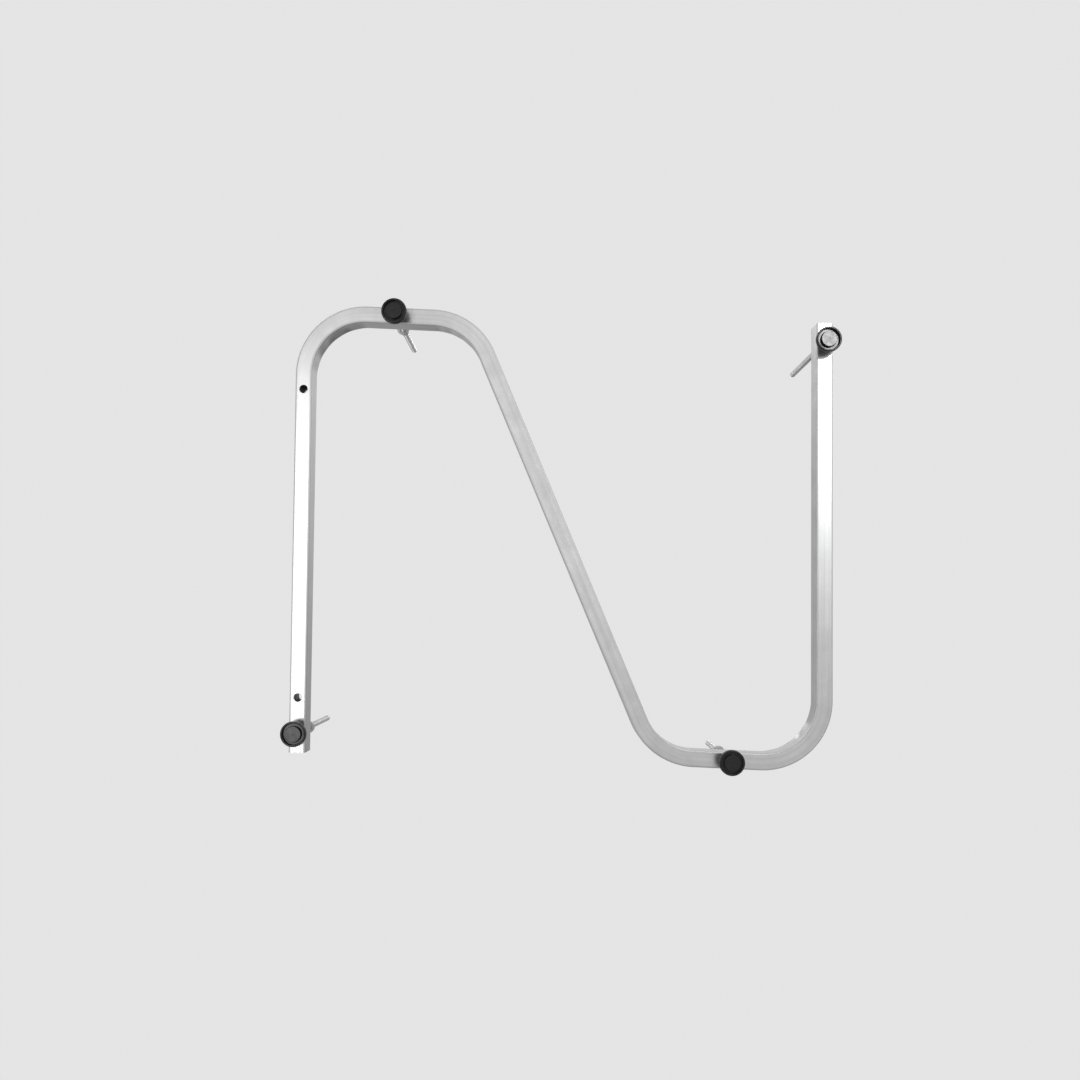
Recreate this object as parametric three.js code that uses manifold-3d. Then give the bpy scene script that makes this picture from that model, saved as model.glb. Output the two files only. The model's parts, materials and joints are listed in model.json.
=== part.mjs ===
// Bath support frame: one bent square tube in a rounded N, standing on four screw feet.
// Millimetres, +Z up. The origin is on the floor, under the middle of the frame.
// The frame looks the same after half a turn about Z, so its path is drawn from one half.
import * as THREE from 'three';
import { mergeVertices } from 'three/addons/utils/BufferGeometryUtils.js';
import Module from 'manifold-3d';

const wasm = await Module();
wasm.setup();

// Tube
const TUBE_WIDTH = 22;
const TUBE_WALL = 1.5;
const TUBE_CORNER_RADIUS = 2;
const BEND_RADIUS = 82;
const BEND_STEP_DEG = 6.6;

// Path of the tube's centre line, seen from above
const ARM_SPACING = 700;
const ARM_CORNER_Y = 300.5;
const ARM_END_Y = 291;
const RUN_SPAN_X = 225.5;
const RUN_SLOPE_DEG = 2.15;

// Holes in the tube
const BOLT_HOLE_RADIUS = 4.6;
const SCREW_HOLE_RADIUS = 5.5;
const SCREW_HOLES_Y = [-195, 218];

// M8 bolt, nut and washer
const BOLT_RADIUS = 4;
const BOLT_TOP_Z = 146;
const BOLT_TIP_CHAMFER = 1;
const HEAD_HEIGHT = 5.3;
const HEX_ACROSS_FLATS = 13;
const HEX_CHAMFER = 0.7;
const HEX_CHAMFER_ANGLE = Math.PI / 6;
const NUT_HEIGHT = 6.5;
const NUT_BORE_RADIUS = 4.25;
const WASHER_RADIUS = 8.5;
const WASHER_BORE_RADIUS = 4.4;
const WASHER_THICKNESS = 1.6;

// Moulded foot cap: a solid boss round the bolt's head, and a skirt round it with a groove between them
const CAP_RADIUS = 16.8;
const CAP_SKIRT_INNER_RADIUS = 14.1;
const CAP_BOSS_RADIUS = 10.4;
const CAP_GROOVE_DEPTH = 3.6;
const CAP_SHOULDER_Z = 5.6;
const CAP_HEIGHT = 7.6;
const CAP_FLOOR_Z = 2.2;
const CAP_EDGE_ROUND = 0.8;

// Space that touching pieces keep
const GAP = 0.3;
const SMALL_GAP = 0.1;

// How far a cutter stands out of what it cuts, and how deep joined solids reach into each other
const CUT_MARGIN = 1;
const JOIN_DEPTH = 1;

// Heights of what is stacked under the tube, from the floor up
const LOWER_NUT_Z = CAP_HEIGHT + GAP;
const LOWER_WASHER_Z = LOWER_NUT_Z + NUT_HEIGHT + SMALL_GAP;
const TUBE_BOTTOM_Z = LOWER_WASHER_Z + WASHER_THICKNESS + GAP;
const TUBE_MIDDLE_Z = TUBE_BOTTOM_Z + TUBE_WIDTH / 2;
const TUBE_TOP_Z = TUBE_BOTTOM_Z + TUBE_WIDTH;

// Feet: where they stand, and how high their upper washer was left on the bolt
const RUN_LEFT_FOOT_X = 227;
const RUN_RIGHT_FOOT_X = 223.5;
const ARM_FOOT_Y = 264;
const FEET = [
  { name: 'run_left', x: -RUN_LEFT_FOOT_X, y: -runY(RUN_LEFT_FOOT_X), upperWasherZ: 61.5 },
  { name: 'arm_right', x: ARM_SPACING / 2, y: -ARM_FOOT_Y, upperWasherZ: TUBE_TOP_Z + GAP },
  { name: 'arm_left', x: -ARM_SPACING / 2, y: ARM_FOOT_Y, upperWasherZ: 60 },
  { name: 'run_right', x: RUN_RIGHT_FOOT_X, y: runY(RUN_RIGHT_FOOT_X), upperWasherZ: 77 },
];

// Facets round a full turn
const ROUND_SEGMENTS = 24;
const CAP_SEGMENTS = 32;

// Materials
const zincTube = new THREE.MeshStandardMaterial({ color: 0xc9cbcc, roughness: 0.42, metalness: 0.9 });
const zincBolt = new THREE.MeshStandardMaterial({ color: 0xa9abad, roughness: 0.38, metalness: 0.95 });
const zincNut = new THREE.MeshStandardMaterial({ color: 0xb9bbbd, roughness: 0.35, metalness: 0.95 });
const zincWasher = new THREE.MeshStandardMaterial({ color: 0xbfc1c3, roughness: 0.4, metalness: 0.95 });
const blackPlastic = new THREE.MeshStandardMaterial({ color: 0x161617, roughness: 0.45, metalness: 0 });

// How far the middle of a run is from the X axis, at a distance x from the Y axis
function runY(x) {
  return ARM_CORNER_Y - (ARM_SPACING / 2 - x) * Math.tan(THREE.MathUtils.degToRad(RUN_SLOPE_DEG));
}

// Solids for cutting and joining
function toSolid(geometry) {
  const bare = geometry.clone();
  bare.deleteAttribute('normal');
  bare.deleteAttribute('uv');
  const merged = mergeVertices(bare, 1e-4);
  const mesh = new wasm.Mesh({
    numProp: 3,
    vertProperties: new Float32Array(merged.attributes.position.array),
    triVerts: new Uint32Array(merged.index.array),
  });
  return new wasm.Manifold(mesh);
}

function toGeometry(solid) {
  const mesh = solid.getMesh();
  const geometry = new THREE.BufferGeometry();
  geometry.setAttribute('position', new THREE.BufferAttribute(mesh.vertProperties, 3));
  geometry.setIndex(new THREE.BufferAttribute(mesh.triVerts, 1));
  geometry.computeVertexNormals();
  return geometry;
}

// Basic shapes, all standing on z = 0 with their axis on Z
function roundBar(radius, height, segments = ROUND_SEGMENTS) {
  const bar = new THREE.CylinderGeometry(radius, radius, height, segments);
  return bar.rotateX(Math.PI / 2).translate(0, 0, height / 2);
}

function turned(points, segments) {
  const profile = points.map(([radius, z]) => new THREE.Vector2(radius, z));
  return new THREE.LatheGeometry(profile, segments).rotateX(Math.PI / 2);
}

function hexBar(acrossFlats, height) {
  return roundBar(acrossFlats / Math.sqrt(3), height, 6);
}

// A hexagon whose corners are turned off by a cone at both ends
function chamferedHex(acrossFlats, height, chamfer) {
  const outer = acrossFlats / Math.sqrt(3) + SMALL_GAP;
  const face = outer - chamfer / Math.tan(HEX_CHAMFER_ANGLE);
  const profile = [[0, 0], [face, 0], [outer, chamfer], [outer, height - chamfer], [face, height], [0, height]];
  const cone = turned(profile, ROUND_SEGMENTS);
  return toSolid(hexBar(acrossFlats, height)).intersect(toSolid(cone));
}

// Tube path: straight stretches joined by round bends, one station per facet of a bend.
// Equal steps of the parameter go from station to station.
class BentPath extends THREE.Curve {
  constructor(corners, radius) {
    super();
    this.stations = bentStations(corners, radius);
  }

  between(t, key) {
    const place = t * (this.stations.length - 1);
    const index = Math.min(Math.floor(place), this.stations.length - 2);
    const from = this.stations[index][key];
    return from.clone().lerp(this.stations[index + 1][key], place - index);
  }

  getPoint(t) {
    return this.between(t, 'point');
  }

  getPointAt(t) {
    return this.between(t, 'point');
  }

  getTangentAt(t) {
    return this.between(t, 'tangent').normalize();
  }
}

function bendStations(before, corner, after, radius) {
  const arriving = corner.clone().sub(before).normalize();
  const leaving = after.clone().sub(corner).normalize();
  const turn = arriving.angleTo(leaving);
  const side = Math.sign(arriving.clone().cross(leaving).z);
  const setback = radius * Math.tan(turn / 2);
  const start = corner.clone().addScaledVector(arriving, -setback);
  const up = new THREE.Vector3(0, 0, side);
  const centre = start.clone().addScaledVector(up.clone().cross(arriving), radius);
  const spoke = start.clone().sub(centre);
  const steps = Math.ceil(THREE.MathUtils.radToDeg(turn) / BEND_STEP_DEG);
  return Array.from({ length: steps + 1 }, (_, k) => ({
    point: spoke.clone().applyAxisAngle(up, (turn * k) / steps).add(centre),
    tangent: arriving.clone().applyAxisAngle(up, (turn * k) / steps),
  }));
}

function bentStations(corners, radius) {
  const stations = [];
  for (let i = 1; i < corners.length - 1; i += 1) {
    stations.push(...bendStations(corners[i - 1], corners[i], corners[i + 1], radius));
  }
  const first = { point: corners[0].clone(), tangent: stations[0].tangent.clone() };
  const last = { point: corners.at(-1).clone(), tangent: stations.at(-1).tangent.clone() };
  return [first, ...stations, last];
}

function tubeCorners() {
  const armX = ARM_SPACING / 2;
  const runEndX = armX - RUN_SPAN_X;
  const half = [
    new THREE.Vector3(-armX, ARM_END_Y, TUBE_MIDDLE_Z),
    new THREE.Vector3(-armX, -ARM_CORNER_Y, TUBE_MIDDLE_Z),
    new THREE.Vector3(-runEndX, -runY(runEndX), TUBE_MIDDLE_Z),
  ];
  const otherHalf = half.map((p) => new THREE.Vector3(-p.x, -p.y, p.z)).reverse();
  return [...half, ...otherHalf];
}

function roundedSquare(target, width, radius) {
  const flat = width / 2 - radius;
  target.absarc(flat, flat, radius, 0, Math.PI / 2);
  target.absarc(-flat, flat, radius, Math.PI / 2, Math.PI);
  target.absarc(-flat, -flat, radius, Math.PI, Math.PI * 1.5);
  target.absarc(flat, -flat, radius, Math.PI * 1.5, Math.PI * 2);
  target.closePath();
  return target;
}

function tubeSection() {
  const section = roundedSquare(new THREE.Shape(), TUBE_WIDTH, TUBE_CORNER_RADIUS);
  const inside = TUBE_WIDTH - 2 * TUBE_WALL;
  section.holes.push(roundedSquare(new THREE.Path(), inside, TUBE_CORNER_RADIUS - TUBE_WALL));
  return section;
}

function frameTube() {
  const path = new BentPath(tubeCorners(), BEND_RADIUS);
  const steps = path.stations.length - 1;
  const options = { steps, extrudePath: path, bevelEnabled: false, curveSegments: 2 };
  let tube = toSolid(new THREE.ExtrudeGeometry(tubeSection(), options));
  const drill = (radius, x, y) => {
    const bar = roundBar(radius, TUBE_WIDTH + 2 * CUT_MARGIN).translate(x, y, TUBE_BOTTOM_Z - CUT_MARGIN);
    tube = tube.subtract(toSolid(bar));
  };
  for (const foot of FEET) {
    drill(BOLT_HOLE_RADIUS, foot.x, foot.y);
  }
  for (const y of SCREW_HOLES_Y) {
    drill(SCREW_HOLE_RADIUS, -ARM_SPACING / 2, y);
  }
  return toGeometry(tube);
}

// Pieces of a foot, each with its axis on Z
function footBolt() {
  const headZ = CAP_FLOOR_Z + SMALL_GAP;
  const shankZ = headZ + HEAD_HEIGHT - JOIN_DEPTH;
  const shank = turned([
    [0, shankZ],
    [BOLT_RADIUS, shankZ],
    [BOLT_RADIUS, BOLT_TOP_Z - BOLT_TIP_CHAMFER],
    [BOLT_RADIUS - BOLT_TIP_CHAMFER, BOLT_TOP_Z],
    [0, BOLT_TOP_Z],
  ], ROUND_SEGMENTS);
  const head = toSolid(hexBar(HEX_ACROSS_FLATS, HEAD_HEIGHT).translate(0, 0, headZ));
  return toGeometry(head.add(toSolid(shank)));
}

function footCap() {
  const body = toSolid(turned([
    [0, 0],
    [CAP_BOSS_RADIUS, 0],
    [CAP_BOSS_RADIUS, CAP_GROOVE_DEPTH],
    [CAP_SKIRT_INNER_RADIUS, CAP_GROOVE_DEPTH],
    [CAP_SKIRT_INNER_RADIUS, 0],
    [CAP_RADIUS - CAP_EDGE_ROUND, 0],
    [CAP_RADIUS, CAP_EDGE_ROUND],
    [CAP_RADIUS, CAP_SHOULDER_Z - CAP_EDGE_ROUND],
    [CAP_RADIUS - CAP_EDGE_ROUND, CAP_SHOULDER_Z],
    [CAP_BOSS_RADIUS, CAP_SHOULDER_Z],
    [CAP_BOSS_RADIUS, CAP_HEIGHT],
    [0, CAP_HEIGHT],
  ], CAP_SEGMENTS));
  const pocket = hexBar(HEX_ACROSS_FLATS + 2 * GAP, CAP_HEIGHT).translate(0, 0, CAP_FLOOR_Z);
  return toGeometry(body.subtract(toSolid(pocket)));
}

function hexNut() {
  const hexagon = chamferedHex(HEX_ACROSS_FLATS, NUT_HEIGHT, HEX_CHAMFER);
  const bore = roundBar(NUT_BORE_RADIUS, NUT_HEIGHT + 2 * CUT_MARGIN).translate(0, 0, -CUT_MARGIN);
  return toGeometry(hexagon.subtract(toSolid(bore)));
}

function flatWasher() {
  const ring = new THREE.Shape().absarc(0, 0, WASHER_RADIUS, 0, Math.PI * 2);
  ring.holes.push(new THREE.Path().absarc(0, 0, WASHER_BORE_RADIUS, 0, Math.PI * 2));
  const options = { depth: WASHER_THICKNESS, bevelEnabled: false, curveSegments: ROUND_SEGMENTS / 2 };
  return new THREE.ExtrudeGeometry(ring, options);
}

function addPiece(group, name, geometry, material, z) {
  const piece = new THREE.Mesh(geometry, material);
  piece.name = name;
  piece.position.z = z;
  group.add(piece);
}

function screwFoot(foot) {
  const group = new THREE.Group();
  group.position.set(foot.x, foot.y, 0);
  addPiece(group, `foot_cap_${foot.name}`, footCap(), blackPlastic, 0);
  addPiece(group, `foot_bolt_${foot.name}`, footBolt(), zincBolt, 0);
  addPiece(group, `lower_nut_${foot.name}`, hexNut(), zincNut, LOWER_NUT_Z);
  addPiece(group, `lower_washer_${foot.name}`, flatWasher(), zincWasher, LOWER_WASHER_Z);
  addPiece(group, `upper_washer_${foot.name}`, flatWasher(), zincWasher, foot.upperWasherZ);
  const upperNutZ = foot.upperWasherZ + WASHER_THICKNESS + SMALL_GAP;
  addPiece(group, `upper_nut_${foot.name}`, hexNut(), zincNut, upperNutZ);
  return group;
}

function bathSupportFrame() {
  const frame = new THREE.Group();
  addPiece(frame, 'frame_tube', frameTube(), zincTube, 0);
  FEET.forEach((foot) => frame.add(screwFoot(foot)));
  return frame;
}

export default bathSupportFrame();
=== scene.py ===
"""Looks of the bath support frame: bent zinc-plated square tube on four screw feet with moulded caps.

Metres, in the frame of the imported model: +Z up, the caps' ground faces on z = 0.
"""

import json
import math

import bmesh
import bpy
from mathutils import Matrix, Vector
from mathutils.kdtree import KDTree

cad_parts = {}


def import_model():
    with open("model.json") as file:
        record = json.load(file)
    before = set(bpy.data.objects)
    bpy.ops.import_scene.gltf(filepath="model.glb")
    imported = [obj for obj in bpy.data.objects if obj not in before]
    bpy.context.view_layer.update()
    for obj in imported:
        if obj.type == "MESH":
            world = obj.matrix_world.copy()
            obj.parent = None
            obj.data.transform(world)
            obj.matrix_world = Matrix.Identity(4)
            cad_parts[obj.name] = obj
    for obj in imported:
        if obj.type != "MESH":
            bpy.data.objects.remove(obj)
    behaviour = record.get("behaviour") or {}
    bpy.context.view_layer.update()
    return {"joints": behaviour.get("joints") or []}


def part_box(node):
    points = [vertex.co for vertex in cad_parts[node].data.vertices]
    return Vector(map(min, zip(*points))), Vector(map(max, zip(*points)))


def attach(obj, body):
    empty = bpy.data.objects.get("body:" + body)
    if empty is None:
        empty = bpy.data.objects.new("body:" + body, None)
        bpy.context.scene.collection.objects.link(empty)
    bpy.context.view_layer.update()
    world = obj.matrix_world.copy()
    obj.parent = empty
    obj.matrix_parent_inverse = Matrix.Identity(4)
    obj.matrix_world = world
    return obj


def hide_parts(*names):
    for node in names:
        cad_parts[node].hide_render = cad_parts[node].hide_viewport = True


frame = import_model()

MM = 0.001
UP = Vector((0, 0, 1))
JOINTS = {joint["name"]: joint for joint in frame["joints"]}
FEET = ("run_left", "arm_right", "arm_left", "run_right")
TUBE_LOW, TUBE_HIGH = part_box("frame_tube")

# Tube: section and path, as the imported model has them
TUBE_WIDTH = TUBE_HIGH.z - TUBE_LOW.z
TUBE_HALF = TUBE_WIDTH / 2
TUBE_WALL = 1.5 * MM
TUBE_CORNER = 2.0 * MM
TUBE_MIDDLE_Z = (TUBE_HIGH.z + TUBE_LOW.z) / 2
ARM_X = (TUBE_HIGH.x - TUBE_LOW.x - TUBE_WIDTH) / 2
ARM_CORNER_Y = 300.5 * MM
ARM_END_Y = 291 * MM
RUN_SPAN_X = 225.5 * MM
RUN_SLOPE = math.radians(2.15)
BEND_RADIUS = 82 * MM

# Tube: how finely its length and its section are divided
BEND_STEP = math.radians(2.5)
STRAIGHT_STEP = 30 * MM
CORNER_STEPS = 5
FLAT_STEPS = 4

# Tube: in a bend the inner wall dips in waves, and the walls beside it pinch together by a share of that
BEND_SAG = 0.9 * MM
BEND_SAG_POWER = 3
BEND_PINCH = 0.25
BEND_RISE_POWER = 0.6
BEND_WAVES = 4.5
BEND_WAVE_DEPTH = 0.8

# Tube: holes right through it, with broken edges
BOLT_HOLE_RADIUS = 4.6 * MM
SCREW_HOLE_RADIUS = 5.5 * MM
SCREW_HOLES_Y = (-195 * MM, 218 * MM)
HOLE_BREAK = 0.35 * MM
HOLE_STEPS = 64
CUT_MARGIN = 2 * MM

# M8 thread: its profile as shares of the pitch and radii, root first. It starts THREAD_LEAD turns too
# low and has THREAD_SPARE_TURNS turns too many, and is then cut flat.
THREAD_PITCH = 1.25 * MM
THREAD_MAJOR = 3.95 * MM
THREAD_MINOR = 3.24 * MM
THREAD_PROFILE = ((0.0, THREAD_MINOR), (0.14, THREAD_MINOR), (0.46, THREAD_MAJOR), (0.68, THREAD_MAJOR))
THREAD_STEPS = 24
THREAD_LEAD = 1.5
THREAD_SPARE_TURNS = 2

# Bolt, nuts and washers
BOLT_TIP_CHAMFER = 1.1 * MM
BOLT_HEAD_HEIGHT = 5.3 * MM
BOLT_HEAD_OVERLAP = 0.2 * MM
HEX_FLATS = 13 * MM
HEX_FACE_RADIUS = 6.15 * MM
HEX_CHAMFER = math.radians(30)
HEX_CORNER_CUT = 0.12 * MM
HEX_STEPS = 96
NUT_BORE = 4.05 * MM
NUT_MOUTH = 4.45 * MM
WASHER_BORE = 4.4 * MM
WASHER_BURR = 0.1 * MM
WASHER_BORE_ROLL = 0.2 * MM
WASHER_RIM_ROLL = 0.35 * MM
WASHER_STEPS = 72

# Moulded cap: boss, groove with drafted walls, skirt, and the pocket for the bolt's head
CAP_STEPS = 96
CAP_BOSS = 10.4 * MM
CAP_SKIRT_INNER = 14.1 * MM
CAP_GROOVE_DEPTH = 3.6 * MM
CAP_SHOULDER_Z = 5.6 * MM
CAP_DRAFT = 0.1 * MM
CAP_GATE_RADIUS = 1.4 * MM
CAP_GATE_DEPTH = 0.25 * MM
CAP_GATE_EDGE = 0.2 * MM
CAP_FILLET = 0.5 * MM
CAP_NECK_FILLET = 0.4 * MM
CAP_SKIRT_FILLET = 0.9 * MM
CAP_RIM_FILLET = 1.5 * MM
CAP_SHOULDER_FILLET = 1.0 * MM
CAP_POCKET_FLATS = 13.6 * MM
CAP_POCKET_Z = 2.2 * MM
CAP_POCKET_SIDES = 6


# ---------------------------------------------------------------- nodes

# Noise seldom leaves this range, so this is the part of it that is spread out
NOISE_RANGE = (0.3, 0.7)

# Pointiness from which an edge starts to look worn
EDGE_STARTS = 0.52

# Sockets of a Mix node by number, because its sockets for numbers and for colours share their names
MIX_FACTOR = 0
MIX_NUMBERS = (2, 3)
MIX_COLORS = (6, 7)
MIX_COLOR_OUT = 2


def grey(value, warmth=0.0):
    return (value * (1 + warmth), value, value * (1 - warmth), 1.0)


class Graph:
    """A small builder of shader nodes in one node tree."""

    def __init__(self, tree):
        self.nodes = tree.nodes
        self.links = tree.links
        self.nodes.clear()

    def node(self, kind, inputs=(), **settings):
        """A node with its settings, and with each input linked or set, by the input's name or number."""
        node = self.nodes.new(kind)
        for name, value in settings.items():
            setattr(node, name, value)
        for name, value in dict(inputs).items():
            if isinstance(value, bpy.types.NodeSocket):
                self.links.new(value, node.inputs[name])
            else:
                node.inputs[name].default_value = value
        return node

    def math(self, operation, *values):
        return self.node("ShaderNodeMath", enumerate(values), operation=operation).outputs["Value"]

    def split(self, vector):
        return self.node("ShaderNodeSeparateXYZ", {"Vector": vector}).outputs

    def remap(self, value, low, high, to_low, to_high):
        inputs = {
            "Value": value,
            "From Min": low,
            "From Max": high,
            "To Min": to_low,
            "To Max": to_high,
        }
        return self.node("ShaderNodeMapRange", inputs).outputs["Result"]

    def spread(self, noise, low, high):
        """Noise with its usual range spread from low to high."""
        return self.remap(noise, *NOISE_RANGE, low, high)

    def mix_numbers(self, factor, first, second):
        inputs = {MIX_FACTOR: factor, MIX_NUMBERS[0]: first, MIX_NUMBERS[1]: second}
        return self.node("ShaderNodeMix", inputs).outputs[0]

    def mix_colors(self, factor, first, second):
        inputs = {MIX_FACTOR: factor, MIX_COLORS[0]: first, MIX_COLORS[1]: second}
        return self.node("ShaderNodeMix", inputs, data_type="RGBA").outputs[MIX_COLOR_OUT]

    def mix_shaders(self, factor, first, second):
        inputs = {0: factor, 1: first.outputs[0], 2: second.outputs[0]}
        return self.node("ShaderNodeMixShader", inputs).outputs["Shader"]


class Shader(Graph):
    """A material round one Principled shader."""

    def __init__(self, name):
        self.material = bpy.data.materials.new(name)
        self.material.use_nodes = True
        super().__init__(self.material.node_tree)
        self.surface = self.node("ShaderNodeBsdfPrincipled")
        self.output = self.node("ShaderNodeOutputMaterial", {"Surface": self.surface.outputs["BSDF"]})

    def set(self, **values):
        """Constants on the Principled shader, by its inputs' names in lower case with underscores."""
        inputs = {socket.name.lower().replace(" ", "_"): socket for socket in self.surface.inputs}
        for name, value in values.items():
            inputs[name].default_value = value

    def link(self, socket, name):
        self.links.new(socket, self.surface.inputs[name])

    def place(self):
        return self.node("ShaderNodeTexCoord").outputs["Object"]

    def attribute(self, name, output="Vector"):
        return self.node("ShaderNodeAttribute", attribute_name=name).outputs[output]

    def stretch(self, vector, scale):
        return self.node("ShaderNodeMapping", {"Vector": vector, "Scale": scale}).outputs["Vector"]

    def noise(self, vector, scale, detail=4.0, rough=0.55):
        inputs = {"Vector": vector, "Scale": scale, "Detail": detail, "Roughness": rough}
        return self.node("ShaderNodeTexNoise", inputs).outputs["Fac"]

    def bump(self, height, strength, distance, under=None):
        inputs = {"Height": height, "Strength": strength, "Distance": distance}
        if under is not None:
            inputs["Normal"] = under
        return self.node("ShaderNodeBump", inputs).outputs["Normal"]

    def clouds(self, scale, tones, roughness):
        """Soft clouds between two tones and two roughnesses, as a colour and a roughness."""
        cloud = self.noise(self.place(), scale, rough=0.6)
        dark, light = tones
        color = self.mix_colors(self.spread(cloud, 0, 1), grey(dark), grey(light))
        return color, self.spread(cloud, *roughness)

    def pale_edges(self, color, full_at, share, tone):
        """The colour with a share of a paler tone on edges, full at the given pointiness."""
        edge = self.node("ShaderNodeNewGeometry").outputs["Pointiness"]
        return self.mix_colors(self.remap(edge, EDGE_STARTS, full_at, 0, share), color, grey(tone))

    def corner(self, place):
        """How far a point of the tube is round a corner of its section, from the end of the flat."""
        split = self.split(place)
        beside = self.math("ABSOLUTE", split["Y"])
        above = self.math("ABSOLUTE", split["Z"])
        return self.math("SUBTRACT", self.math("MINIMUM", beside, above), TUBE_HALF - TUBE_CORNER)


# ---------------------------------------------------------------- materials

# Tube finish: grain by scale along, beside and above the tube's middle; tones; roughness; bumps by
# strength and height; and corners with painted shade and more roughness, over distances round the corner
LINE_GRAIN = (12, 1700, 1700)
LINE_RANGE = (0.45, 0.80)
LINE_SHARE = 0.30
LINE_COLOR = grey(0.80)
LINE_BUMP = (0.04, 0.04 * MM)
BAND_GRAIN = (3, 260, 260)
BAND_RANGE = (0.40, 0.70)
BAND_SHARE = 0.55
BAND_COLOR = grey(0.50, -0.01)
BAND_BUMP = (0.10, 0.12 * MM)
TUBE_CLOUD_SCALE = 30.0
TUBE_TONES = (0.60, 0.69)
TUBE_ROUGHNESS = (0.32, 0.38)
SPANGLE_SCALE = 360.0
SPANGLE_ROUGHNESS = (-0.02, 0.03)
# Painted shade: the corners of the section are darkened towards a dark grey, which dims the lamps' lines
# on them
CORNER_SHADE_RANGE = (-0.8 * MM, 0.2 * MM)
CORNER_SHADE_SHARE = 0.25
CORNER_SHADE_COLOR = grey(0.16)
CORNER_ROUGH_RANGE = (-0.6 * MM, 0.4 * MM)
CORNER_ROUGHNESS = 0.22

# Bolt finish
BOLT_CLOUD_SCALE = 160.0
BOLT_TONES = (0.50, 0.62)
BOLT_ROUGHNESS = (0.26, 0.42)
# Painted shade in the thread's roots: its share and its dark grey
ROOT_SHADE_SHARE = 0.75
ROOT_SHADE_COLOR = grey(0.16)
BOLT_PIT_SCALE = 2600.0
BOLT_PIT_BUMP = (0.15, 0.03 * MM)

# Nut and washer finish
NUT_CLOUD_SCALE = 210.0
NUT_TONES = (0.50, 0.68)
WASHER_TONES = (0.54, 0.72)
NUT_ROUGHNESS = (0.38, 0.54)
NUT_PIT_SCALE = 1500.0
NUT_PIT_BUMP = (0.2, 0.05 * MM)

# Cap finish
CAP_CLOUD_SCALE = 120.0
CAP_TONES = (0.006, 0.013)
CAP_ROUGHNESS = (0.18, 0.26)
CAP_GRAIN_SCALE = 2300.0
CAP_GRAIN_BUMP = (0.22, 0.06 * MM)


def tube_zinc():
    """Satin zinc plate over drawn steel: fine lines along the tube, soft clouds, rougher corners and
    painted shade on the corners.
    """
    s = Shader("tube_zinc")
    s.set(metallic=1.0, anisotropic=0.35, anisotropic_rotation=0.25)
    s.link(s.attribute("course"), "Tangent")
    place = s.attribute("place")
    corner = s.corner(place)
    lines = s.noise(s.stretch(place, LINE_GRAIN), 1.0, detail=3.0, rough=0.6)
    bands = s.noise(s.stretch(place, BAND_GRAIN), 1.0, detail=3.0, rough=0.5)
    spangle = s.noise(s.place(), SPANGLE_SCALE, detail=2.0, rough=0.5)
    color, rough = s.clouds(TUBE_CLOUD_SCALE, TUBE_TONES, TUBE_ROUGHNESS)
    color = s.mix_colors(s.remap(bands, *BAND_RANGE, 0, BAND_SHARE), color, BAND_COLOR)
    color = s.mix_colors(s.remap(lines, *LINE_RANGE, 0, LINE_SHARE), color, LINE_COLOR)
    # Painted shade: darkens the corners of the section
    color = s.mix_colors(s.remap(corner, *CORNER_SHADE_RANGE, 0, CORNER_SHADE_SHARE), color, CORNER_SHADE_COLOR)
    rough = s.math("ADD", rough, s.remap(corner, *CORNER_ROUGH_RANGE, 0, CORNER_ROUGHNESS))
    rough = s.math("ADD", rough, s.spread(spangle, *SPANGLE_ROUGHNESS))
    s.link(color, "Base Color")
    s.link(rough, "Roughness")
    s.link(s.bump(bands, *BAND_BUMP, under=s.bump(lines, *LINE_BUMP)), "Normal")
    return s.material


def bolt_zinc():
    """Bright zinc on rolled thread: painted shade in the roots, pale on the crests."""
    s = Shader("bolt_zinc")
    s.set(metallic=1.0)
    color, rough = s.clouds(BOLT_CLOUD_SCALE, BOLT_TONES, BOLT_ROUGHNESS)
    # Painted shade: the thread's roots are darkened, less and less towards the crests
    root = s.remap(s.attribute("crest", "Fac"), 0, 1, ROOT_SHADE_SHARE, 0)
    s.link(s.mix_colors(root, color, ROOT_SHADE_COLOR), "Base Color")
    s.link(rough, "Roughness")
    s.link(s.bump(s.noise(s.place(), BOLT_PIT_SCALE, detail=2.0), *BOLT_PIT_BUMP), "Normal")
    return s.material


def nut_zinc(name, tones):
    """Bright zinc on forged and stamped pieces: cloudy, a little pitted, rubbed at the edges."""
    s = Shader(name)
    s.set(metallic=1.0)
    color, rough = s.clouds(NUT_CLOUD_SCALE, tones, NUT_ROUGHNESS)
    s.link(s.pale_edges(color, full_at=0.60, share=0.6, tone=0.85), "Base Color")
    s.link(rough, "Roughness")
    s.link(s.bump(s.noise(s.place(), NUT_PIT_SCALE, detail=2.0, rough=0.5), *NUT_PIT_BUMP), "Normal")
    return s.material


def cap_plastic():
    """Black moulded plastic: fine spark-eroded grain, dusty tone, edges worn a little paler."""
    s = Shader("cap_plastic")
    s.set(specular_ior_level=0.32)
    color, rough = s.clouds(CAP_CLOUD_SCALE, CAP_TONES, CAP_ROUGHNESS)
    s.link(s.pale_edges(color, full_at=0.62, share=0.5, tone=0.06), "Base Color")
    s.link(rough, "Roughness")
    s.link(s.bump(s.noise(s.place(), CAP_GRAIN_SCALE, detail=3.0, rough=0.6), *CAP_GRAIN_BUMP), "Normal")
    return s.material


# ---------------------------------------------------------------- pieces

# Edges shorter than this are closed up
TINY = 0.003 * MM


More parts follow.
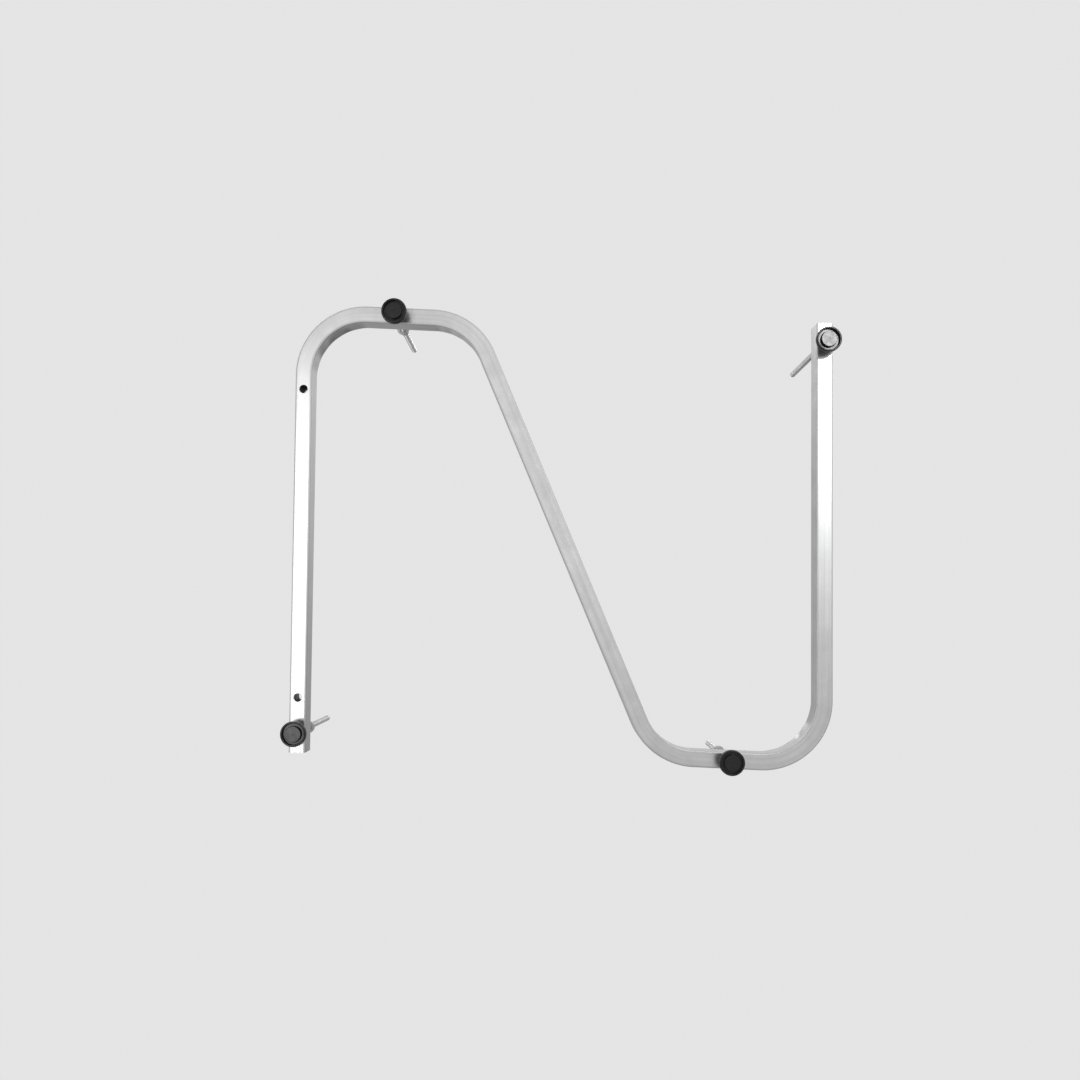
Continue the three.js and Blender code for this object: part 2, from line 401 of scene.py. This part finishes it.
def evaluated(mesh, kind, **settings):
    """The mesh with one modifier applied."""
    solid = bpy.data.objects.new("solid", mesh)
    bpy.context.scene.collection.objects.link(solid)
    modifier = solid.modifiers.new("modifier", kind)
    for name, value in settings.items():
        setattr(modifier, name, value)
    graph = bpy.context.evaluated_depsgraph_get()
    result = bpy.data.meshes.new_from_object(solid.evaluated_get(graph), depsgraph=graph)
    bpy.data.objects.remove(solid)
    return result


def drop_tiny_faces(mesh):
    """Closes up the slivers that cuts leave."""
    bm = bmesh.new()
    bm.from_mesh(mesh)
    bmesh.ops.dissolve_degenerate(bm, dist=TINY, edges=bm.edges)
    bm.to_mesh(mesh)
    bm.free()


def piece(name, mesh, material, body, slot, *nodes, sharp=32):
    """A mesh as a piece that rides on a body and stands for CAD nodes; edges over sharp degrees stay."""
    drop_tiny_faces(mesh)
    mesh.materials.clear()
    mesh.materials.append(material)
    mesh.shade_smooth()
    mesh.set_sharp_from_angle(angle=math.radians(sharp))
    shaded = evaluated(mesh, "WEIGHTED_NORMAL", weight=100, keep_sharp=True)
    made = bpy.data.objects.new(name, shaded)
    bpy.context.scene.collection.objects.link(made)
    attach(made, body)
    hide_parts(*nodes)
    return made


def to_mesh(bm, name):
    bmesh.ops.recalc_face_normals(bm, faces=bm.faces)
    mesh = bpy.data.meshes.new(name)
    bm.to_mesh(mesh)
    bm.free()
    return mesh


def moved(bm, by):
    bmesh.ops.translate(bm, verts=bm.verts, vec=by)
    return bm


def ring(bm, radii, heights):
    """Points round Z at even angles, with a radius and a height each; one point if the radius is 0."""
    if radii[0] == 0:
        return [bm.verts.new((0, 0, heights[0]))]
    points = []
    for k, (radius, z) in enumerate(zip(radii, heights)):
        angle = 2 * math.pi * k / len(radii)
        points.append(bm.verts.new((radius * math.cos(angle), radius * math.sin(angle), z)))
    return points


def round_ring(bm, radius, z, steps):
    return ring(bm, [radius] * steps, [z] * steps)


def bridge(bm, low, high):
    """Faces between two rings of points; either ring may be a single point."""
    count = max(len(low), len(high))
    for k in range(count):
        n = (k + 1) % count
        around = [low[k % len(low)], low[n % len(low)], high[n % len(high)], high[k % len(high)]]
        bm.faces.new(list(dict.fromkeys(around)))


def bridge_all(bm, rings):
    """Faces from each ring to the next, and from the last to the first unless they start on the axis."""
    for low, high in zip(rings, rings[1:]):
        bridge(bm, low, high)
    if len(rings[0]) > 1:
        bridge(bm, rings[-1], rings[0])


def turned(profile, steps):
    """A lathe mesh round Z from (radius, z) points, closed unless they start on the axis."""
    bm = bmesh.new()
    bridge_all(bm, [round_ring(bm, radius, z, steps) for radius, z in profile])
    return bm


def rounded(corner, before, after, radius, steps=4):
    """Points of a fillet at a profile corner, from the side of before to the side of after."""
    c, b, a = Vector(corner), Vector(before), Vector(after)
    start = c + (b - c).normalized() * radius
    end = c + (a - c).normalized() * radius
    points = []
    for k in range(steps + 1):
        t = k / steps
        points.append(tuple((1 - t) ** 2 * start + 2 * t * (1 - t) * c + t * t * end))
    return points


def filleted(profile):
    """A closed profile of (radius, z, fillet) corners, with each corner rounded off."""
    points = []
    for k, (radius, z, fillet) in enumerate(profile):
        before = profile[k - 1][:2]
        after = profile[(k + 1) % len(profile)][:2]
        points += rounded((radius, z), before, after, fillet)
    return points


def cut(mesh, cutter_bm):
    """The mesh with the cutter taken away, by an exact boolean."""
    tool = bpy.data.objects.new("cut_tool", to_mesh(cutter_bm, "cut_tool"))
    bpy.context.scene.collection.objects.link(tool)
    result = evaluated(mesh, "BOOLEAN", operation="DIFFERENCE", solver="EXACT", object=tool)
    bpy.data.objects.remove(tool)
    return result


def foot_place(foot, z):
    """The point at height z on the axis of a foot's bolt, from the joint of its lower nut."""
    at = JOINTS[foot + "_lower_nut_turn"]["pos_m"]
    return Vector((at[0], at[1], z))


# ---------------------------------------------------------------- tube


def path_corners():
    slope = math.tan(RUN_SLOPE)
    half = [
        Vector((-ARM_X, ARM_END_Y, TUBE_MIDDLE_Z)),
        Vector((-ARM_X, -ARM_CORNER_Y, TUBE_MIDDLE_Z)),
        Vector((-ARM_X + RUN_SPAN_X, -ARM_CORNER_Y + RUN_SPAN_X * slope, TUBE_MIDDLE_Z)),
    ]
    return half + [Vector((-p.x, -p.y, p.z)) for p in reversed(half)]


def straight_stations(start, end):
    """Stations between two points, without the last."""
    length = (end - start).length
    steps = max(1, round(length / STRAIGHT_STEP))
    along = (end - start).normalized()
    return [(start.lerp(end, k / steps), along, 0.0) for k in range(steps)]


def bend_press(share):
    """How hard the inner wall is pressed at a share of the way round a bend, not at all at its ends."""
    if not 0 < share < 1:
        return 0.0
    wave = 1 + BEND_WAVE_DEPTH * math.sin(2 * math.pi * BEND_WAVES * share)
    return wave * math.sin(math.pi * share) ** BEND_RISE_POWER


def bend_stations(corner, arriving, leaving):
    """Stations round one bend: point, direction, and how hard the wall towards the centre is pressed."""
    turn = arriving.angle(leaving)
    side = math.copysign(1.0, arriving.cross(leaving).z)
    start = corner - arriving * BEND_RADIUS * math.tan(turn / 2)
    centre = start + (UP * side).cross(arriving) * BEND_RADIUS
    steps = math.ceil(turn / BEND_STEP)
    stations = []
    for k in range(steps + 1):
        spin = Matrix.Rotation(side * turn * k / steps, 3, "Z")
        point = centre + spin @ (start - centre)
        stations.append((point, spin @ arriving, side * bend_press(k / steps)))
    return stations


def tube_stations():
    """Stations along the whole tube, from the left arm's open end to the right arm's."""
    corners = path_corners()
    stations = []
    here = corners[0]
    for k in range(1, len(corners) - 1):
        arriving = (corners[k] - corners[k - 1]).normalized()
        leaving = (corners[k + 1] - corners[k]).normalized()
        bend = bend_stations(corners[k], arriving, leaving)
        stations += straight_stations(here, bend[0][0]) + bend[:-1]
        here = bend[-1][0]
    stations += straight_stations(here, corners[-1])
    last = (corners[-1] - here).normalized()
    return stations + [(corners[-1], last, 0.0)]


def square_ring(half, radius):
    """Points of a rounded square, counter-clockwise, with points on the flats to carry the bends' sag."""
    flat = half - radius
    points = []
    for quarter in range(4):
        turn = Matrix.Rotation(quarter * math.pi / 2, 2)
        for k in range(CORNER_STEPS + 1):
            a = math.pi / 2 * k / CORNER_STEPS
            points.append(turn @ Vector((flat + radius * math.cos(a), flat + radius * math.sin(a))))
        for k in range(1, FLAT_STEPS):
            points.append(turn @ Vector((flat - 2 * flat * k / FLAT_STEPS, half)))
    return [tuple(p) for p in points]


def pressed(x, z, press):
    """The section's point in a bend: the wall on the inside of the bend dips, its neighbours pinch."""
    if not press:
        return x, z
    toward = math.copysign(1.0, press)
    depth = max(0.0, toward * x / TUBE_HALF)
    sag = abs(press) * BEND_SAG
    dip = sag * depth ** BEND_SAG_POWER * (1 - (z / TUBE_HALF) ** 2)
    pinch = sag * BEND_PINCH * depth * (1 - (x / TUBE_HALF) ** 2)
    return x - toward * dip, z - math.copysign(min(pinch, abs(z)), z)


def skin_rows(bm, section, stations):
    """The points of one skin of the tube, with one row at each station."""
    rows = []
    for point, along, press in stations:
        side = UP.cross(along)
        row = []
        for x, z in section:
            beside, above = pressed(x, z, press)
            row.append(bm.verts.new(point + side * beside + UP * above))
        rows.append(row)
    return rows


def tube_mesh(stations):
    """The hollow tube as two nested skins joined at the open ends."""
    bm = bmesh.new()
    outer = skin_rows(bm, square_ring(TUBE_HALF, TUBE_CORNER), stations)
    inner = skin_rows(bm, square_ring(TUBE_HALF - TUBE_WALL, TUBE_CORNER - TUBE_WALL), stations)
    for rows in (outer, inner):
        for row, following in zip(rows, rows[1:]):
            bridge(bm, row, following)
    for end in (0, -1):
        bridge(bm, outer[end], inner[end])
    return to_mesh(bm, "tube")


def mark_course(mesh, stations):
    """Notes at each point the tube's direction, and the place along, beside and above its middle."""
    points = [station[0] for station in stations]
    runs = [0.0]
    for before, point in zip(points, points[1:]):
        runs.append(runs[-1] + (point - before).length)
    tree = KDTree(len(points))
    for k, point in enumerate(points):
        tree.insert(point, k)
    tree.balance()
    course = mesh.attributes.new("course", "FLOAT_VECTOR", "POINT")
    place = mesh.attributes.new("place", "FLOAT_VECTOR", "POINT")
    for vert in mesh.vertices:
        k = tree.find(vert.co)[1]
        along = stations[k][1]
        reach = vert.co - points[k]
        course.data[vert.index].vector = along
        beside = reach.dot(UP.cross(along))
        place.data[vert.index].vector = (runs[k] + reach.dot(along), beside, reach.z)


def drill(x, y, radius):
    """A cutter for one hole right through the tube, with its edges broken."""
    wide = radius + HOLE_BREAK + CUT_MARGIN
    below = TUBE_LOW.z - CUT_MARGIN
    above = TUBE_HIGH.z + CUT_MARGIN
    profile = [
        (0, below),
        (wide, below),
        (radius, TUBE_LOW.z + HOLE_BREAK),
        (radius, TUBE_HIGH.z - HOLE_BREAK),
        (wide, above),
        (0, above),
    ]
    return moved(turned(profile, HOLE_STEPS), (x, y, 0))


def build_tube(material):
    stations = tube_stations()
    mesh = tube_mesh(stations)
    for foot in FEET:
        at = foot_place(foot, 0)
        mesh = cut(mesh, drill(at.x, at.y, BOLT_HOLE_RADIUS))
    for y in SCREW_HOLES_Y:
        mesh = cut(mesh, drill(-ARM_X, y, SCREW_HOLE_RADIUS))
    mark_course(mesh, stations)
    return piece("bent_tube", mesh, material, "frame", "tube", "frame_tube", sharp=38)


# ---------------------------------------------------------------- fasteners


def thread_rows(bm, low, high):
    """Copies of the thread's profile along its helix, past both low and high, thinner at the tip."""
    crest = bm.verts.layers.float.new("crest")
    turns = math.ceil((high - low) / THREAD_PITCH) + THREAD_SPARE_TURNS
    rows = []
    for i in range(turns * THREAD_STEPS + 1):
        angle = 2 * math.pi * i / THREAD_STEPS
        base = low - THREAD_PITCH * THREAD_LEAD + THREAD_PITCH * i / THREAD_STEPS
        row = []
        for share, radius in THREAD_PROFILE:
            z = base + share * THREAD_PITCH
            r = min(radius, THREAD_MAJOR - max(0.0, z - (high - BOLT_TIP_CHAMFER)))
            vert = bm.verts.new((r * math.cos(angle), r * math.sin(angle), z))
            vert[crest] = (radius - THREAD_MINOR) / (THREAD_MAJOR - THREAD_MINOR)
            row.append(vert)
        rows.append(row)
    return rows


def thread_faces(bm, rows):
    """Faces along the helix, and from the end of each profile to the start of the next turn's."""
    last = len(THREAD_PROFILE) - 1
    for i in range(len(rows) - 1):
        here, there = rows[i], rows[i + 1]
        for k in range(last):
            bm.faces.new((here[k], there[k], there[k + 1], here[k + 1]))
        turn_on = i + THREAD_STEPS
        if turn_on + 1 < len(rows):
            bm.faces.new((here[last], there[last], rows[turn_on + 1][0], rows[turn_on][0]))


def thread_mesh(low, high):
    """A rolled M8 thread from low to high, cut flat at both ends."""
    bm = bmesh.new()
    thread_faces(bm, thread_rows(bm, low, high))
    for z, outward in ((low, -UP), (high, UP)):
        geometry = bm.verts[:] + bm.edges[:] + bm.faces[:]
        found = bmesh.ops.bisect_plane(
            bm, geom=geometry, plane_co=(0, 0, z), plane_no=outward, clear_outer=True
        )
        edges = [g for g in found["geom_cut"] if isinstance(g, bmesh.types.BMEdge)]
        bmesh.ops.contextual_create(bm, geom=edges)
    return bm


def hex_side(angle):
    """How far out a hexagon reaches at an angle, with its corners cut a little."""
    inside = (angle + math.pi / 6) % (math.pi / 3) - math.pi / 6
    return min(HEX_FLATS / 2 / math.cos(inside), HEX_FLATS / math.sqrt(3) - HEX_CORNER_CUT)


def hexagon(height, bore=0, mouth=0, chamfered_below=True):
    """A hexagon piece with conical corner chamfers, and a bore with countersunk mouths if bore isn't 0."""
    sides = [hex_side(2 * math.pi * k / HEX_STEPS) for k in range(HEX_STEPS)]
    drops = [(side - HEX_FACE_RADIUS) * math.tan(HEX_CHAMFER) for side in sides]
    lows = drops if chamfered_below else [0] * HEX_STEPS
    highs = [height - drop for drop in drops]
    sink = mouth - bore
    bm = bmesh.new()
    rings = [
        round_ring(bm, mouth, 0, HEX_STEPS),
        round_ring(bm, HEX_FACE_RADIUS, 0, HEX_STEPS),
        ring(bm, sides, lows),
        ring(bm, sides, highs),
        round_ring(bm, HEX_FACE_RADIUS, height, HEX_STEPS),
        round_ring(bm, mouth, height, HEX_STEPS),
    ]
    if bore:
        rings.append(round_ring(bm, bore, height - sink, HEX_STEPS))
        rings.append(round_ring(bm, bore, sink, HEX_STEPS))
    bridge_all(bm, rings)
    return bm


def joined(first, second):
    """Both bmeshes as one, second added to first."""
    mesh = bpy.data.meshes.new("part")
    second.to_mesh(mesh)
    second.free()
    first.from_mesh(mesh)
    bpy.data.meshes.remove(mesh)
    return first


def build_bolt(foot, material):
    node = "foot_bolt_" + foot
    low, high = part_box(node)
    thread = thread_mesh(low.z + BOLT_HEAD_HEIGHT - BOLT_HEAD_OVERLAP, high.z)
    head = moved(hexagon(BOLT_HEAD_HEIGHT, chamfered_below=False), (0, 0, low.z))
    mesh = to_mesh(moved(joined(thread, head), foot_place(foot, 0)), "bolt")
    return piece("threaded_bolt_" + foot, mesh, material, "foot_" + foot, "bolt", node, sharp=28)


def build_nut(level, foot, material):
    node = f"{level}_nut_{foot}"
    low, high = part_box(node)
    nut = hexagon(high.z - low.z, NUT_BORE, NUT_MOUTH)
    mesh = to_mesh(moved(nut, foot_place(foot, low.z)), "nut")
    return piece(f"hex_nut_{level}_{foot}", mesh, material, node, "nut", node, sharp=24)


def build_washer(level, foot, material):
    """A stamped washer: its top edge is rolled over, its bottom edge keeps a small burr line."""
    node = f"{level}_washer_{foot}"
    low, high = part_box(node)
    radius = (high.x - low.x) / 2
    thick = high.z - low.z
    profile = filleted([
        (radius, 0, WASHER_BURR),
        (radius, thick, WASHER_RIM_ROLL),
        (WASHER_BORE, thick, WASHER_BORE_ROLL),
        (WASHER_BORE, 0, WASHER_BURR),
    ])
    mesh = to_mesh(moved(turned(profile, WASHER_STEPS), foot_place(foot, low.z)), "washer")
    body = "frame" if level == "lower" else node
    return piece(f"flat_washer_{level}_{foot}", mesh, material, body, "washer", node)


# ---------------------------------------------------------------- caps


def cap_profile(radius, height):
    """Half of the cap's section: gate mark, boss, groove, skirt, shoulder, neck and top."""
    boss, skirt, groove, shoulder = CAP_BOSS, CAP_SKIRT_INNER, CAP_GROOVE_DEPTH, CAP_SHOULDER_Z
    points = [
        (0, CAP_GATE_DEPTH),
        (CAP_GATE_RADIUS, CAP_GATE_DEPTH),
        (CAP_GATE_RADIUS + CAP_GATE_EDGE, 0),
    ]
    # Each corner, a point on the way to it, a point on the way on from it, its fillet and its steps
    for fillet in (
        ((boss, 0), (0, 0), (boss, height), CAP_FILLET, 4),
        ((boss + CAP_DRAFT, groove), (boss, 0), (radius, groove), CAP_FILLET, 4),
        ((skirt - CAP_DRAFT, groove), (boss, groove), (skirt, 0), CAP_FILLET, 4),
        ((skirt, 0), (skirt, height), (radius, 0), CAP_SKIRT_FILLET, 4),
        ((radius, 0), (skirt, 0), (radius, height), CAP_RIM_FILLET, 8),
        ((radius, shoulder), (radius, 0), (0, shoulder), CAP_SHOULDER_FILLET, 6),
        ((boss, shoulder), (radius, shoulder), (boss, height), CAP_NECK_FILLET, 4),
        ((boss - CAP_DRAFT, height), (boss, 0), (0, height), CAP_FILLET, 4),
    ):
        points += rounded(*fillet)
    return points + [(0, height)]


def build_cap(foot, material):
    """The moulded foot: boss, groove and skirt, with a hexagonal pocket for the bolt's head."""
    node = "foot_cap_" + foot
    low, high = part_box(node)
    radius = (high.x - low.x) / 2
    height = high.z - low.z
    beyond = 2 * height
    corner = CAP_POCKET_FLATS / math.sqrt(3)
    pocket = [(0, CAP_POCKET_Z), (corner, CAP_POCKET_Z), (corner, beyond), (0, beyond)]
    mesh = to_mesh(turned(cap_profile(radius, height), CAP_STEPS), "cap")
    mesh = cut(mesh, turned(pocket, CAP_POCKET_SIDES))
    mesh.transform(Matrix.Translation(foot_place(foot, low.z)))
    return piece("moulded_cap_" + foot, mesh, material, "foot_" + foot, "cap", node, sharp=30)


# ---------------------------------------------------------------- studio

# Floor: just under the caps, glowing a little so that it looks even
FLOOR_RADIUS = 30.0
FLOOR_STEPS = 96
FLOOR_GAP = 0.4 * MM
FLOOR_GLOW = 0.25
FLOOR_ROUGHNESS = 0.8
FLOOR_TONES = (0.80, 0.84)
FLOOR_WASH_SCALE = 1.2

# Tone of the background
BACKDROP = 0.78

# Strength of the light from all round, by direction (x, y, z). From above it is
# SKY + y * (SKY_Y + SKY_XY * x), kept within SKY_RANGE. From below it goes through GROUND_RANGE as y
# goes through GROUND_RANGE_Y. The two blend where z is between -HORIZON and HORIZON.
SKY = 0.52
SKY_Y = -0.495
SKY_XY = -0.985
SKY_RANGE = (0.15, 0.95)
GROUND_RANGE_Y = (-0.4, 0.3)
GROUND_RANGE = (0.82, 0.62)
HORIZON = 0.25

# Camera under the frame, looking up at the caps, as far from the tube's underside as this
CAMERA_DISTANCE = 0.950
CAMERA_X = -16.0 * MM
CAMERA_Y = 101.1 * MM
CAMERA_ROLL = math.radians(-0.57)
CAMERA_TILT = math.radians(1.446)
CAMERA_LENS = 23.77
CAMERA_SENSOR = 36
CAMERA_SHIFT = (-0.0093, 0.0500)

# Lamps: soft boxes beside the camera for the arms' faces, two small lamps that two of the caps mirror,
# and a soft one over the frame. Each has its name, place, aim, size along X and along Y, and watts.
CAMERA_Z = TUBE_LOW.z - CAMERA_DISTANCE
SPOT_Z = CAMERA_Z - 10 * MM
LAMPS = (
    ("softbox_left", (-0.70, -0.06, CAMERA_Z), (-0.35, 0, 0), (0.20, 0.86), 2.4),
    ("softbox_right", (0.72, -0.45, CAMERA_Z), (0.35, -0.2, 0), (0.20, 0.60), 1.7),
    ("softbox_right_edge", (0.72, 0.0, CAMERA_Z), (0.35, -0.2, 0), (0.20, 0.30), 0.13),
    ("spot_right", (0.716, -0.627, SPOT_Z), (0.35, -0.263, 0), (0.14, 0.14), 2.9),
    ("spot_left", (-0.684, 0.427, SPOT_Z), (-0.35, 0.264, 0), (0.15, 0.15), 0.5),
    ("overhead", (-1.9, -2.2, 1.9), (0, 0, 0), (1.6, 1.6), 36),
)


def floor_material():
    """Pale and matt from above, and clear from below."""
    s = Shader("floor_pale")
    s.set(roughness=FLOOR_ROUGHNESS, emission_color=grey(1), emission_strength=FLOOR_GLOW)
    dark, light = FLOOR_TONES
    wash = s.noise(s.place(), FLOOR_WASH_SCALE, detail=2.0)
    s.link(s.mix_colors(wash, grey(dark), grey(light)), "Base Color")
    clear = s.node("ShaderNodeBsdfTransparent")
    below = s.node("ShaderNodeNewGeometry").outputs["Backfacing"]
    s.links.new(s.mix_shaders(below, s.surface, clear), s.output.inputs["Surface"])
    return s.material


def floor():
    """A pale floor, seen from above only, so that the frame can also be looked at from below."""
    bm = bmesh.new()
    bmesh.ops.create_circle(bm, cap_ends=True, radius=FLOOR_RADIUS, segments=FLOOR_STEPS)
    mesh = bpy.data.meshes.new("floor")
    moved(bm, (0, 0, -FLOOR_GAP)).to_mesh(mesh)
    bm.free()
    mesh.materials.append(floor_material())
    made = bpy.data.objects.new("floor", mesh)
    bpy.context.scene.collection.objects.link(made)
    for ray in ("visible_diffuse", "visible_glossy", "visible_transmission", "visible_shadow"):
        setattr(made, ray, False)


def world():
    """Plain pale grey for the camera, and for the light a soft glow that depends on the direction."""
    made = bpy.data.worlds.new("studio")
    made.use_nodes = True
    g = Graph(made.node_tree)
    x, y, z = g.split(g.node("ShaderNodeTexCoord").outputs["Generated"])
    above = g.math("MULTIPLY_ADD", g.math("MULTIPLY_ADD", x, SKY_XY, SKY_Y), y, SKY)
    least, most = SKY_RANGE
    above = g.math("MINIMUM", g.math("MAXIMUM", above, least), most)
    below = g.remap(y, *GROUND_RANGE_Y, *GROUND_RANGE)
    level = g.mix_numbers(g.remap(z, -HORIZON, HORIZON, 0, 1), below, above)
    soft = g.node("ShaderNodeBackground", {"Color": grey(1), "Strength": level})
    plain = g.node("ShaderNodeBackground", {"Color": grey(1), "Strength": BACKDROP})
    seen = g.node("ShaderNodeLightPath").outputs["Is Camera Ray"]
    g.node("ShaderNodeOutputWorld", {"Surface": g.mix_shaders(seen, soft, plain)})
    bpy.context.scene.world = made


def lamp(name, at, aim, size, watts):
    """A rectangular lamp that faces its aim and that the camera doesn't see."""
    data = bpy.data.lights.new(name, "AREA")
    data.shape = "RECTANGLE"
    data.size, data.size_y = size
    data.energy = watts
    made = bpy.data.objects.new(name, data)
    back = (Vector(at) - Vector(aim)).normalized()
    side = Vector((0, 1, 0)).cross(back).normalized()
    turn = Matrix((side, back.cross(side), back)).transposed()
    made.matrix_world = Matrix.Translation(at) @ turn.to_4x4()
    made.visible_camera = False
    bpy.context.scene.collection.objects.link(made)


def camera():
    """A camera that looks up at the frame, rolled and tilted a little."""
    data = bpy.data.cameras.new("camera")
    data.lens = CAMERA_LENS
    data.sensor_width = CAMERA_SENSOR
    data.shift_x, data.shift_y = CAMERA_SHIFT
    made = bpy.data.objects.new("camera", data)
    roll = Matrix.Rotation(CAMERA_ROLL, 3, "Z")
    right = roll @ Vector((1, 0, 0))
    down = roll @ Vector((0, 1, 0))
    ahead = UP * math.cos(CAMERA_TILT) - down * math.sin(CAMERA_TILT)
    up = right.cross(ahead).normalized()
    turn = Matrix((right, up, -ahead)).transposed()
    at = Vector((CAMERA_X, CAMERA_Y, CAMERA_Z))
    made.matrix_world = Matrix.Translation(at) @ turn.to_4x4()
    bpy.context.scene.collection.objects.link(made)
    bpy.context.scene.camera = made


# ---------------------------------------------------------------- build

camera()
floor()
world()
for settings in LAMPS:
    lamp(*settings)

zinc_tube = tube_zinc()
zinc_bolt = bolt_zinc()
zinc_nut = nut_zinc("nut_zinc", NUT_TONES)
zinc_washer = nut_zinc("washer_zinc", WASHER_TONES)
black_cap = cap_plastic()

build_tube(zinc_tube)
for foot_name in FEET:
    build_cap(foot_name, black_cap)
    build_bolt(foot_name, zinc_bolt)
    for stack_level in ("lower", "upper"):
        build_nut(stack_level, foot_name, zinc_nut)
        build_washer(stack_level, foot_name, zinc_washer)

bpy.context.scene.view_settings.view_transform = "Standard"
